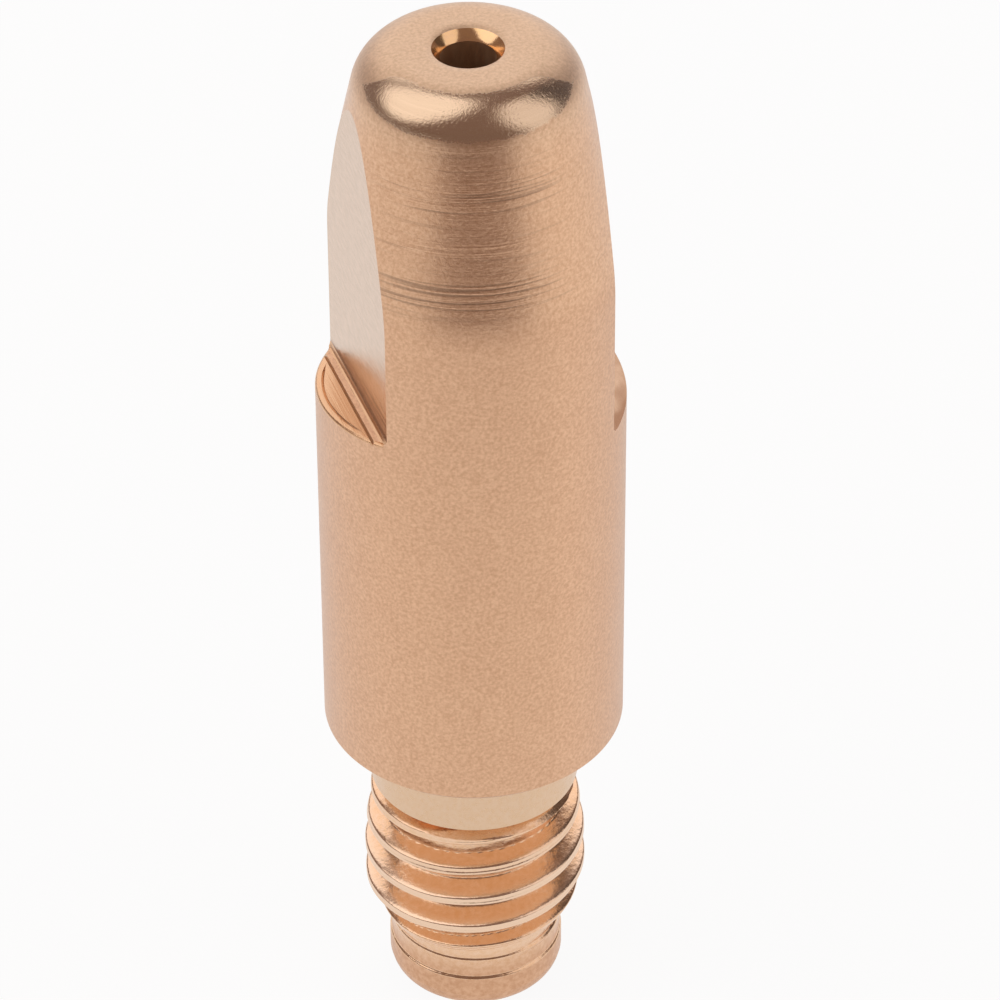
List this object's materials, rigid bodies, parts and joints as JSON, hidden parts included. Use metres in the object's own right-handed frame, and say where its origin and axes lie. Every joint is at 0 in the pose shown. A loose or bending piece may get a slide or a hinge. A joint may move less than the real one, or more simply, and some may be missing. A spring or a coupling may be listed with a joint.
{
  "type": "welding contact tip",
  "caption": "Turned copper contact tip for a wire welding torch, with a threaded shank, a seating shoulder, spanner flats, a tapered nose and a wire bore along its whole length.",
  "frame": {"origin": "centre of the end face below the thread, on which the tip stands", "axes": "+Z along the wire bore, from the threaded end to the nose; the two spanner flats face +X and -X"},
  "size_m": [0.008, 0.008, 0.03],
  "materials": {
    "copper": "satin copper: blasted body, turned nose, polished nose edge, bright milled flats and a shiny rolled thread"
  },
  "bodies": {
    "root": {"contact_tip": "copper"}
  },
  "joints": []
}
